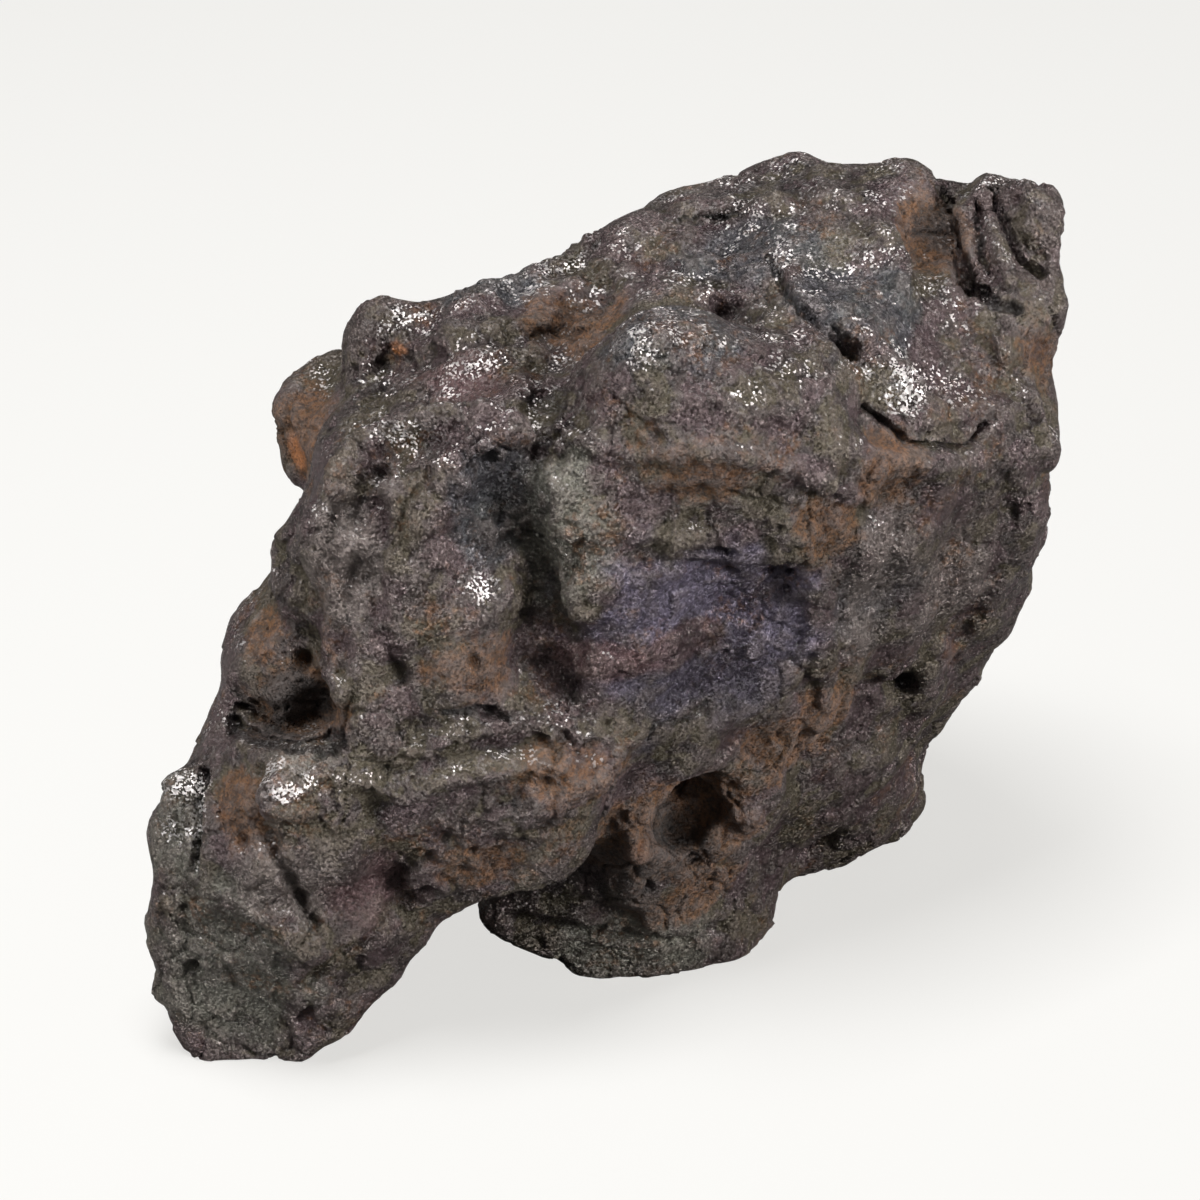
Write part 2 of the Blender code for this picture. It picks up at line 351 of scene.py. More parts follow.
@dataclass
class Stone:
    """The whole meteorite: its skin, worked over from a finer copy of the frame's node."""

    node: str = "meteorite"
    name: str = "meteorite_stone"
    voxel: float = 0.34
    smoothing: int = 22
    triangles: int = 190_000
    pit_count: int = 260
    sharpening: float = 0.6
    sharpening_passes: int = 45
    upward_glint: float = 0.42
    relief: Relief = field(default_factory=Relief)
    seed: int = 7

    cracks: tuple[Cut, ...] = (
        Cut(((16.3, -0.2, 77.0), (17.2, -3.3, 76.2), (18.3, -7.0, 75.4), (19.6, -10.0, 75.0),
             (21.5, -12.4, 74.3), (23.9, -12.9, 72.5)), 0.42, 1.0, 2.2, 0.7, (-0.10, 0.50, -0.86)),
        Cut(((25.4, -15.8, 67.6), (27.0, -15.8, 66.4), (28.8, -16.3, 65.0), (29.4, -17.0, 64.2),
             (31.8, -16.5, 63.7), (34.9, -14.2, 62.3), (36.4, -12.6, 62.1), (37.8, -11.2, 63.4)),
            0.5, 1.6, 1.0, 0.8, (-0.30, 0.75, -0.10)),
        Cut(((7.6, 8.5, 76.9), (10.2, 8.9, 77.2), (12.4, 8.4, 77.2), (15.7, 10.0, 78.3)), 0.5, 0.5, 1.0, 1.0),
        Cut(((4.2, -25.1, 35.2), (4.9, -24.9, 36.7), (6.2, -24.4, 36.9), (7.5, -24.0, 36.1),
             (8.6, -23.5, 36.7), (10.2, -22.7, 37.7)), 0.45, 0.6, 1.0, 1.0),
        Cut(((-37.2, -24.0, 36.8), (-34.0, -27.0, 37.2), (-30.5, -29.5, 37.6), (-27.0, -29.8, 38.2)),
            1.7, 1.8, 1.0, 1.4, (0.10, 0.86, -0.50)),
        Cut(((-16.1, -29.7, 41.0), (-12.8, -29.1, 41.2), (-9.8, -28.6, 39.8)), 0.6, 0.9, 1.0, 1.0),
        Cut(((-40.4, -25.9, 32.0), (-40.7, -28.4, 30.0), (-40.9, -31.0, 27.0), (-41.3, -31.6, 23.8)),
            0.55, 1.1, 1.0, 0.8),
    )
    folds: tuple[Cut, ...] = (
        Cut(((-25.3, -23.0, 62.4), (-23.7, -20.3, 65.3), (-20.0, -20.1, 67.4), (-15.1, -21.3, 69.0),
             (-10.2, -23.0, 69.3), (-7.8, -22.2, 67.5)), 1.7, -1.6),
        Cut(((-11.1, -25.1, 66.0), (-8.5, -25.0, 61.5), (-7.7, -23.9, 55.1), (-6.5, -23.1, 49.0)), 3.4, 0.5),
        Cut(((-4.8, -21.3, 66.4), (-4.6, -24.3, 61.5), (-3.9, -24.0, 55.0), (-2.4, -25.0, 51.0)), 2.4, -0.8),
        Cut(((-2.1, -21.0, 70.2), (3.2, -23.7, 70.8), (8.9, -24.8, 70.8), (15.1, -25.0, 69.8)), 3.2, 0.4),
        Cut(((-0.6, -1.6, 74.3), (-3.1, -3.7, 73.1), (-4.6, -9.1, 71.2), (-5.3, -17.1, 69.7)), 3.4, 1.0),
        Cut(((-15.6, -6.0, 71.2), (-10.8, 0.9, 72.4), (-6.0, 5.0, 73.4), (-1.7, 7.9, 74.5)), 3.2, -1.0),
        Cut(((3.4, 2.1, 75.9), (9.4, -2.3, 75.7), (14.8, -6.1, 75.8)), 3.6, 0.8),
        Cut(((8.6, 9.5, 77.4), (12.7, 9.6, 77.9), (17.2, 7.6, 79.2)), 2.4, -0.8),
        Cut(((19.4, -7.5, 75.4), (25.5, -11.6, 73.2), (31.5, -13.8, 66.8)), 2.6, -0.7),
        Cut(((-4.5, -24.5, 58.8), (0.3, -25.3, 60.1), (5.2, -25.1, 58.6), (10.1, -23.9, 56.8),
             (15.5, -22.9, 55.1)), 2.6, -0.5),
        Cut(((-0.6, -25.8, 57.2), (5.2, -25.5, 56.0), (11.2, -22.8, 53.6), (16.0, -21.0, 52.0)), 1.6, 0.2),
        Cut(((7.4, -24.0, 56.6), (9.8, -23.7, 56.4), (12.2, -23.2, 56.2)), 0.8, 0.9),
        Cut(((-1.6, -25.2, 43.1), (3.3, -24.8, 45.6), (8.9, -21.3, 45.2), (14.9, -20.2, 43.6)), 2.8, -0.6),
        Cut(((17.8, -23.4, 59.3), (21.3, -19.7, 48.2), (22.4, -16.9, 37.1), (19.9, -12.4, 25.8)), 3.0, -0.9),
        Cut(((-18.3, -30.2, 22.6), (-12.6, -30.5, 28.0), (-4.6, -30.3, 31.8), (-0.6, -28.8, 33.3)), 4.0, -1.0),
        Cut(((-20.8, -32.1, 35.5), (-13.4, -31.3, 37.3), (-6.1, -29.0, 37.0), (-1.6, -28.8, 35.1)), 2.4, 0.9),
        Cut(((-36.7, -33.3, 21.3), (-31.8, -34.2, 17.6), (-28.0, -33.3, 13.9)), 2.4, -0.6),
        Cut(((32.3, -17.7, 60.5), (29.2, -18.6, 52.2), (28.4, -15.4, 41.0), (27.0, -11.0, 28.0)), 2.8, 0.4),
        Cut(((39.7, -10.4, 58.0), (37.7, -10.7, 47.7), (35.1, -6.9, 35.9), (33.9, -3.2, 23.7)), 2.8, -0.4),
        Cut(((2.5, -24.0, 24.0), (5.0, -20.0, 27.5), (9.5, -18.0, 27.0), (14.5, -18.6, 21.5)), 2.0, -0.8),
    )
    wrinkles: tuple[Cut, ...] = (
        Cut(((-24.5, -25.0, 60.5), (-22.5, -22.5, 63.4), (-19.0, -22.3, 65.4), (-14.5, -23.3, 66.9),
             (-10.0, -24.8, 66.8)), 2.2, 1.0),
        Cut(((-24.8, -22.6, 63.3), (-25.8, -26.2, 56.4), (-27.2, -25.9, 47.2), (-25.7, -29.2, 42.3)), 1.6, -0.7),
        Cut(((-22.3, -23.1, 64.6), (-21.4, -25.0, 59.1), (-22.6, -27.1, 52.4), (-20.2, -29.3, 44.7)), 1.6, 0.6),
        Cut(((-21.9, -4.0, 66.6), (-15.5, -10.0, 70.9), (-8.6, -8.1, 71.8), (-4.6, -5.8, 72.4)), 2.4, 0.9),
        Cut(((1.3, -17.9, 76.0), (6.0, -21.0, 76.2), (12.7, -22.2, 74.0)), 2.0, -0.5),
        Cut(((21.9, 9.1, 80.1), (26.8, 4.9, 79.1), (29.5, -0.4, 77.1), (29.8, -4.5, 74.0)), 2.0, -0.6),
        Cut(((-3.5, -22.0, 67.3), (3.2, -24.4, 66.9), (10.8, -26.0, 68.3), (18.6, -23.7, 64.9),
             (26.0, -18.1, 58.7)), 1.6, -0.5),
        Cut(((3.2, -25.2, 62.4), (10.9, -25.4, 63.6), (18.8, -23.2, 59.7)), 1.6, 0.5),
        Cut(((26.7, -19.9, 63.0), (25.6, -20.2, 53.0), (24.7, -17.5, 42.3), (25.1, -10.7, 28.4)), 1.5, -0.3),
        Cut(((30.2, -18.5, 62.0), (28.5, -19.2, 53.0), (27.6, -16.0, 41.0)), 1.2, 0.3),
        Cut(((38.5, -11.6, 61.4), (41.1, -9.2, 53.9), (40.5, -9.3, 46.9), (37.4, -5.4, 35.1)), 1.5, 0.3),
        Cut(((35.0, -14.0, 59.0), (35.6, -13.0, 50.0), (34.2, -10.5, 38.0)), 1.3, 0.3),
        Cut(((39.6, -4.2, 69.5), (41.1, -6.6, 66.2), (43.9, -6.7, 61.7), (45.2, -6.9, 57.2)), 1.5, -0.6),
        Cut(((-9.1, -17.8, 7.8), (-2.7, -18.7, 7.1), (4.7, -18.6, 5.7), (12.3, -15.2, 4.6)), 1.6, 0.6),
        Cut(((-27.2, -32.2, 35.5), (-20.3, -32.5, 33.9), (-13.4, -31.9, 35.3), (-4.6, -29.4, 35.2)), 1.6, -0.5),
        Cut(((-34.5, -31.0, 35.3), (-33.7, -33.3, 29.7), (-31.5, -34.0, 24.2), (-29.6, -33.7, 18.5)), 1.3, 0.6),
        Cut(((-18.3, -30.1, 20.3), (-23.4, -32.2, 16.8), (-28.0, -33.3, 13.9), (-30.6, -33.5, 10.9)), 1.3, 0.6),
    )
    crest_plates: tuple[Cut, ...] = (
        Cut(((36.5, 11.0, 78.9), (36.9, 6.5, 77.5), (37.3, 2.5, 75.5), (38.0, 0.4, 73.6)), 1.0, -0.9),
        Cut(((38.8, 8.2, 79.8), (39.2, 4.5, 78.0), (39.8, 1.8, 75.9), (40.6, 0.2, 73.9)), 1.0, -0.9),
        Cut(((40.4, 8.4, 80.2), (42.2, 6.2, 78.4), (44.0, 4.2, 76.6), (45.4, 2.5, 75.0)), 1.9, -0.4),
    )
    crest_grooves: tuple[Cut, ...] = (
        Cut(((35.2, 12.6, 78.8), (35.8, 9.5, 78.0), (35.9, 6.0, 76.4), (36.0, 3.0, 74.9),
             (36.9, 0.4, 73.0)), 0.5, 1.5, 1.4, 0.7, (0.10, 0.72, -0.69)),
        Cut(((38.0, 8.0, 79.0), (37.9, 4.5, 77.6), (38.3, 2.4, 76.0), (38.9, 0.6, 74.6)),
            0.4, 1.0, 1.2, 0.7, (0.0, 0.72, -0.69)),
        Cut(((39.4, 9.0, 80.0), (40.4, 5.8, 78.2), (41.3, 3.8, 76.8), (42.4, 2.4, 75.4),
             (44.0, 1.2, 74.4)), 0.45, 1.5, 1.6, 0.7, (-0.10, 0.72, -0.69)),
        Cut(((37.8, -0.2, 73.2), (39.2, -1.8, 72.2), (41.4, -2.0, 71.9)), 0.7, 0.9, 1.0, 1.0),
    )
    pits: tuple[Dent, ...] = (
        Dent((12.1, -6.9, 74.6), (2.6, 1.7, 2.0), 2.6),
        Dent((23.2, -12.4, 73.2), (1.4, 0.8, 1.0), 0.8),
        Dent((7.0, -19.4, 20.6), (4.8, 4.0, 3.6), 3.0),
        Dent((3.8, -21.2, 23.0), (2.2, 2.2, 1.8), 0.8),
        Dent((11.0, -18.8, 22.6), (2.6, 2.6, 2.2), 1.0),
        Dent((8.8, -20.3, 17.2), (2.2, 2.2, 1.8), 1.2),
        Dent((31.6, -7.1, 30.5), (1.8, 1.8, 1.9), 2.2),
        Dent((34.2, -12.5, 48.7), (1.2, 1.2, 1.3), 0.9),
        Dent((41.4, -9.4, 52.2), (1.2, 1.2, 1.3), 0.9),
        Dent((18.2, -19.8, 51.4), (0.8, 0.9, 0.8), 1.0),
        Dent((18.0, -19.8, 49.4), (0.8, 0.9, 0.8), 1.0),
        Dent((-42.2, -32.1, 11.5), (1.5, 1.5, 1.6), 1.8),
        Dent((-30.1, -22.4, 42.8), (1.5, 1.8, 1.6), 1.8),
        Dent((20.0, -16.5, 30.0), (0.9, 1.5, 1.6), 1.2),
    )
    swellings: tuple[Dent, ...] = (
        Dent((-19.9, -25.0, 60.0), (5.5, 6.0, 8.0), -1.2),
        Dent((-21.6, -28.1, 49.6), (6.0, 6.0, 5.0), -1.0),
        Dent((-24.9, -26.5, 55.2), (4.0, 5.0, 3.0), 0.9),
        Dent((-15.5, -16.0, 69.8), (8.0, 4.8, 5.0), 1.9),
        Dent((-10.0, -25.0, 63.0), (4.2, 4.0, 5.5), 1.5),
        Dent((-9.4, -14.1, 70.9), (4.0, 4.0, 4.0), 0.8),
        Dent((5.5, -20.0, 76.5), (8.0, 4.5, 4.5), -1.1),
        Dent((24.1, -8.0, 75.6), (5.0, 4.5, 4.0), 0.6),
        Dent((28.9, -12.6, 69.0), (4.5, 4.0, 3.5), -0.7),
        Dent((9.4, -22.7, 38.9), (8.0, 6.0, 4.5), 1.0),
        Dent((-31.6, -33.0, 34.3), (5.0, 4.5, 4.0), -0.9),
        Dent((-33.5, -34.0, 25.4), (6.0, 5.0, 5.0), -0.6),
        Dent((28.2, -7.8, 21.6), (6.0, 6.0, 6.0), -0.8),
        Dent((18.0, -17.5, 28.5), (4.5, 4.5, 4.0), -0.7),
        Dent((-21.4, -0.4, 69.7), (4.5, 4.0, 3.5), -0.8),
        Dent((-22.3, -4.7, 65.8), (4.0, 3.5, 3.5), 0.9),
        Dent((-30.4, -21.5, 49.2), (4.0, 4.0, 4.0), -0.8),
        Dent((-32.5, -18.3, 52.0), (3.0, 3.0, 3.0), 0.7),
        Dent((40.5, -7.0, 66.3), (4.5, 4.5, 3.0), 0.9),
        Dent((-31.0, -21.0, 38.5), (6.5, 6.0, 5.5), -2.6),
        Dent((3.0, -24.0, 20.8), (2.2, 2.2, 2.6), -0.7),
        Dent((-31.0, -29.5, 32.5), (3.5, 3.5, 3.5), -1.0),
        Dent((-43.2, -27.0, 29.5), (2.6, 4.0, 4.5), -1.2),
        Dent((-5.2, -22.0, 44.5), (4.5, 4.5, 7.5), -2.0),
    )
    calm_places: tuple[tuple[Point, Point], ...] = (
        ((9.0, -22.0, 45.0), (18.0, 11.0, 16.0)),
        ((5.0, -24.0, 63.0), (16.0, 7.0, 9.0)),
        ((33.0, -14.0, 45.0), (15.0, 11.0, 24.0)),
        ((-22.0, -26.0, 54.0), (9.0, 9.0, 12.0)),
        ((6.0, -14.0, 73.0), (9.0, 8.0, 6.0)),
        ((-12.0, -28.0, 56.0), (8.0, 7.0, 10.0)),
    )
    combed_places: tuple[tuple[Point, Point], ...] = (
        ((8.0, -22.0, 46.0), (18.0, 9.0, 13.0)),
        ((6.0, -22.0, 63.0), (16.0, 7.0, 7.0)),
        ((-10.0, -29.0, 33.0), (16.0, 8.0, 10.0)),
        ((36.0, -10.0, 42.0), (14.0, 14.0, 20.0)),
    )
    stains: tuple[Patch, ...] = (
        Patch(Stain.RUST, (-3.0, -6.0, 74.0), (7.0, 8.0, 6.0), 1.0),
        Patch(Stain.RUST, (-31.6, -1.0, 57.0), (6.0, 8.0, 8.0), 0.9),
        Patch(Stain.RUST, (-31.0, -22.5, 37.5), (7.0, 7.0, 6.0), 1.0),
        Patch(Stain.RUST, (9.5, -23.0, 66.0), (9.0, 6.0, 5.0), 0.8),
        Patch(Stain.RUST, (27.5, -17.5, 61.5), (5.0, 5.0, 6.0), 0.9),
        Patch(Stain.RUST, (33.2, 6.3, 75.7), (6.0, 9.0, 6.0), 0.9),
        Patch(Stain.RUST, (20.0, -15.0, 30.0), (9.0, 9.0, 8.0), 1.2),
        Patch(Stain.RUST, (6.0, -21.0, 21.5), (13.0, 9.0, 10.0), 1.3),
        Patch(Stain.RUST, (9.0, -18.0, 12.0), (10.0, 7.0, 6.0), 0.9),
        Patch(Stain.RUST, (-29.0, -26.0, 40.0), (7.0, 8.0, 5.0), 1.0),
        Patch(Stain.RUST, (-36.5, -31.0, 31.0), (5.0, 5.0, 6.0), 0.9),
        Patch(Stain.RUST, (21.0, -21.0, 57.0), (5.0, 5.0, 5.0), 1.0),
        Patch(Stain.RUST, (-14.0, -27.5, 45.0), (6.0, 5.0, 5.0), 0.8),
        Patch(Stain.RUST, (-13.7, -30.0, 23.5), (7.0, 5.0, 5.0), 0.8),
        Patch(Stain.RUST, (-5.0, -28.0, 32.0), (9.0, 6.0, 7.0), 0.7),
        Patch(Stain.RUST, (43.0, -1.0, 66.0), (6.0, 6.0, 7.0), 0.6),
        Patch(Stain.RUST, (-34.5, -20.3, 45.0), (4.0, 4.0, 5.0), 0.7),
        Patch(Stain.RUST, (-34.0, -29.0, 31.0), (6.0, 5.0, 4.0), 0.6),
        Patch(Stain.RUST, (4.0, 33.0, 47.0), (14.0, 10.0, 12.0), 0.8),
        Patch(Stain.RUST, (-24.0, 20.0, 38.0), (9.0, 9.0, 9.0), 0.8),
        Patch(Stain.RUST, (31.0, 27.0, 42.0), (8.0, 8.0, 12.0), 0.8),
        Patch(Stain.EMBER, (-21.2, -3.0, 67.7), (1.7, 1.8, 1.3), 1.0),
        Patch(Stain.EMBER, (-32.5, -1.0, 54.5), (2.2, 3.5, 2.6), 0.8),
        Patch(Stain.EMBER, (3.2, -24.0, 20.6), (2.2, 2.2, 2.8), 0.5),
        Patch(Stain.SHEEN, (9.0, -22.0, 46.5), (17.0, 10.0, 15.0), 0.8),
        Patch(Stain.BLUSH, (4.0, -24.5, 44.6), (13.0, 6.0, 3.2), 1.0),
        Patch(Stain.BLUSH, (-16.0, -14.0, 70.5), (9.0, 6.0, 4.0), 0.8),
        Patch(Stain.BLUSH, (-24.0, -31.0, 22.0), (7.0, 5.0, 8.0), 0.6),
        Patch(Stain.BLUSH, (9.7, -21.7, 45.5), (2.6, 2.6, 1.8), 1.4),
        # Painted shade: darker in the pocket, the lower front hollow, around the deep pit, in a crease and in the
        # crest's hollow.
        Patch(Stain.PAINTED_SHADE, (-33.5, -25.5, 37.0), (6.0, 5.0, 3.0), 0.9),
        Patch(Stain.PAINTED_SHADE, (9.0, -22.5, 40.0), (14.0, 8.0, 10.0), 0.52),
        Patch(Stain.PAINTED_SHADE, (6.6, -19.5, 20.0), (4.5, 4.0, 3.0), 0.5),
        Patch(Stain.PAINTED_SHADE, (-31.5, -24.5, 38.5), (6.0, 6.0, 4.5), 0.9),
        Patch(Stain.PAINTED_SHADE, (2.5, -21.0, 17.0), (12.0, 9.0, 12.0), 0.55),
        Patch(Stain.PAINTED_SHADE, (-9.0, -25.0, 61.0), (4.5, 4.5, 8.0), 0.6),
        Patch(Stain.PAINTED_SHADE, (34.0, 8.0, 76.0), (4.0, 7.0, 4.0), 0.6),
        Patch(Stain.SLATE, (6.0, -17.0, 75.5), (10.0, 8.0, 5.0), 1.0),
        Patch(Stain.SLATE, (24.0, -6.0, 74.0), (10.0, 10.0, 6.0), 1.0),
        Patch(Stain.SLATE, (14.0, 2.0, 77.0), (11.0, 8.0, 5.0), 0.8),
        Patch(Stain.SLATE, (-11.0, 2.0, 72.0), (9.0, 6.0, 4.0), 1.0),
        Patch(Stain.SLATE, (-11.0, -24.5, 62.0), (6.0, 5.0, 9.0), 1.0),
        Patch(Stain.SLATE, (-36.0, -30.0, 14.0), (12.0, 9.0, 12.0), 0.7),
        Patch(Stain.SLATE, (27.0, -17.0, 48.0), (8.0, 8.0, 9.0), 0.7),
        Patch(Stain.GLINT, (5.0, -20.0, 77.0), (9.0, 4.0, 4.0), 1.0),
        Patch(Stain.GLINT, (-15.0, -20.5, 68.5), (11.0, 3.0, 4.0), 1.0),
        Patch(Stain.GLINT, (-14.0, -14.0, 70.5), (8.0, 6.0, 4.0), 0.7),
        Patch(Stain.GLINT, (-6.0, 3.0, 73.5), (12.0, 6.0, 4.0), 0.8),
        Patch(Stain.GLINT, (29.0, -12.5, 68.5), (5.0, 4.0, 4.5), 1.0),
        Patch(Stain.GLINT, (22.0, 0.0, 77.0), (9.0, 9.0, 4.0), 0.6),
        Patch(Stain.GLINT, (12.0, 8.0, 79.0), (14.0, 7.0, 5.0), 0.6),
        Patch(Stain.GLINT, (-12.3, -26.4, 54.3), (2.5, 3.0, 4.5), 0.9),
        Patch(Stain.GLINT, (-31.6, -33.0, 35.0), (4.0, 4.0, 3.5), 1.0),
        Patch(Stain.GLINT, (-42.0, -28.0, 29.0), (4.0, 6.0, 7.0), 0.9),
        Patch(Stain.GLINT, (-22.0, -1.0, 70.0), (5.0, 4.0, 3.0), 0.6),
        Patch(Stain.PATINA, (-4.0, -24.0, 58.0), (6.0, 6.0, 12.0), 1.0),
        Patch(Stain.PATINA, (-30.0, -29.0, 38.0), (6.0, 5.0, 5.0), 0.7),
        # Painted light: lighter on the right flank, the left ridge and the leg.
        Patch(Stain.PAINTED_LIGHT, (28.0, -18.0, 49.0), (7.0, 6.0, 14.0), 0.8),
        Patch(Stain.PAINTED_LIGHT, (36.0, -12.0, 44.0), (7.0, 7.0, 12.0), 0.6),
        Patch(Stain.PAINTED_LIGHT, (-25.5, -25.0, 55.5), (5.0, 6.0, 9.0), 1.0),
        Patch(Stain.PAINTED_LIGHT, (-31.0, -34.0, 24.0), (7.0, 5.0, 8.0), 0.7),
        Patch(Stain.PATINA, (-43.0, -28.5, 26.0), (4.0, 7.0, 8.0), 1.3),
        Patch(Stain.PATINA, (-38.0, -31.0, 13.0), (13.0, 9.0, 14.0), 0.8),
        Patch(Stain.PATINA, (3.0, -17.0, 5.0), (14.0, 8.0, 8.0), 0.8),
    )

    def build(self) -> bpy.types.Object:
        """Makes the stone's object.

        Returns:
            The finished object, at the origin, with its stains, painted shade and painted light as attributes.
        """
        skin = Skin(self._fine_copy())
        self._stroke(skin)
        mesh = self._lightened(skin.mesh)
        finished = Skin(mesh)
        finished.points[:, 2] = np.clip(finished.points[:, 2], 0, None)
        finished.write()
        self._stain(finished)
        mesh.shade_smooth()
        stone = bpy.data.objects.new(self.name, mesh)
        bpy.context.scene.collection.objects.link(stone)
        return stone

    def _fine_copy(self) -> bpy.types.Mesh:
        """A smooth and evenly fine copy of the frame's node."""
        shape = bmesh.new()
        shape.from_mesh(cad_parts[self.node].data)
        bmesh.ops.remove_doubles(shape, verts=shape.verts, dist=1e-6)
        mesh = bpy.data.meshes.new("fine_copy")
        shape.to_mesh(mesh)
        shape.free()
        return modified(
            mesh,
            ("REMESH", {"mode": "VOXEL", "voxel_size": self.voxel * MM}),
            ("SMOOTH", {"factor": 0.5, "iterations": self.smoothing}),
        )

    def _lightened(self, mesh: bpy.types.Mesh) -> bpy.types.Mesh:
        """The mesh with its triangles kept where the shape needs them."""
        count = sum(len(face.vertices) - 2 for face in mesh.polygons)
        return modified(mesh, ("DECIMATE", {"ratio": self.triangles / count}))

    def _stroke(self, skin: Skin) -> None:
        """Works the skin over, from the broad strokes to the fine ones."""
        calm = places(skin.points, self.calm_places)
        combed = places(skin.points, self.combed_places)
        skin.dent(list(self.swellings))
        skin.write()
        skin.cut(list(self.folds + self.wrinkles), raggedness=0.4)
        skin.write()
        skin.sharpen(self.sharpening * (1 - calm), self.sharpening_passes)
        skin.write()
        skin.raise_by(self.relief.heights(skin.points, calm, combed))
        skin.write()
        skin.dent(list(self.pits) + self._scattered_pits(skin))
        skin.write()
        skin.cut(list(self.crest_plates), raggedness=0.5)
        skin.cut(list(self.cracks + self.crest_grooves), raggedness=0.5)
        skin.write()

    def _scattered_pits(self, skin: Skin) -> list[Dent]:
        """Small pits here and there, thicker on the steep flanks and where noise crowds them."""
        chance = random.Random(self.seed)
        crowding = fractal(skin.points[::7], 14.0, 2, seed=8.0)
        steepness = 1 - np.clip(skin.normals[::7, 2], 0, 1)
        rows = np.flatnonzero(crowding + 0.5 * steepness > 0.35) * 7
        pits = []
        for _ in range(self.pit_count):
            row = int(rows[chance.randrange(len(rows))])
            size = 0.4 + 0.7 * chance.random() ** 3
            radii = tuple(size * chance.uniform(0.8, 1.5) for _ in range(3))
            pits.append(Dent(tuple(skin.points[row]), radii, size * chance.uniform(0.5, 1.0)))
        return pits

    def _stain(self, skin: Skin) -> None:
        """Writes the stains, the painted shade and light, the hollows and the rubbed crests as attributes of the
        mesh.
        """
        broad = skin.averaged(skin.points, 24)
        depth = ((broad - skin.points) * skin.normals).sum(axis=1)
        close = skin.averaged(skin.points, 4)
        fine = ((close - skin.points) * skin.normals).sum(axis=1)
        # How sunk each vertex is; the crust darkens it as painted shade.
        self._write(skin, "hollow", smooth_step(depth, 0.15, 1.3))
        self._write(skin, "crest", smooth_step(-fine, 0.015, 0.12))
        patchy = fractal(skin.points, 5.0, 4, seed=6.0)
        for stain in Stain:
            amount = np.zeros(len(skin.points))
            for patch in (p for p in self.stains if p.stain is stain):
                away = (skin.points - patch.centre) / np.array(patch.radii)
                distance = np.linalg.norm(away, axis=1) + 0.35 * patchy
                amount = np.maximum(amount, patch.strength * smooth_step(-distance, -1.1, -0.35))
            if stain is Stain.GLINT:
                amount = np.maximum(amount, self.upward_glint * smooth_step(skin.normals[:, 2], 0.2, 0.9))
            # Painted shade also darkens the bottom of each crack.
            if stain is Stain.PAINTED_SHADE:
                amount = np.maximum(amount, self._cracked(skin))
            self._write(skin, stain.value, amount)

    def _cracked(self, skin: Skin) -> np.ndarray:
        """One at the bottom of each crack, falling to nothing beside it."""
        amount = np.zeros(len(skin.points))
        for crack in self.cracks + self.crest_grooves:
            gap, _ = distance_to_path(skin.points, skin.normals, crack.path)
            amount = np.maximum(amount, dome(gap / (1.2 * crack.width)))
        return amount

    @staticmethod
    def _write(skin: Skin, name: str, values: np.ndarray) -> None:
        """Keeps one number for each vertex under this name."""
        layer = skin.mesh.attributes.new(name, "FLOAT", "POINT")
        layer.data.foreach_set("value", values.astype(np.float32))


def places(points: np.ndarray, spots: tuple[tuple[Point, Point], ...]) -> np.ndarray:
    """How far inside any of these ellipsoids each point lies, from 0 to 1."""
    amount = np.zeros(len(points))
    for centre, radii in spots:
        amount = np.maximum(amount, dome(np.linalg.norm((points - centre) / np.array(radii), axis=1)))
    return amount


def modified(mesh: bpy.types.Mesh, *steps: tuple[str, dict]) -> bpy.types.Mesh:
    """The mesh after a chain of modifiers.

    Args:
        mesh: the mesh to start from.
        steps: each modifier's type and settings.

    Returns:
        A new mesh.
    """
    work = bpy.data.objects.new("work", mesh)
    bpy.context.scene.collection.objects.link(work)
    for kind, settings in steps:
        modifier = work.modifiers.new(kind.lower(), kind)
        for name, value in settings.items():
            setattr(modifier, name, value)
    graph = bpy.context.evaluated_depsgraph_get()
    result = bpy.data.meshes.new_from_object(work.evaluated_get(graph))
    bpy.data.objects.remove(work)
    return result


Colour = tuple[float, float, float]


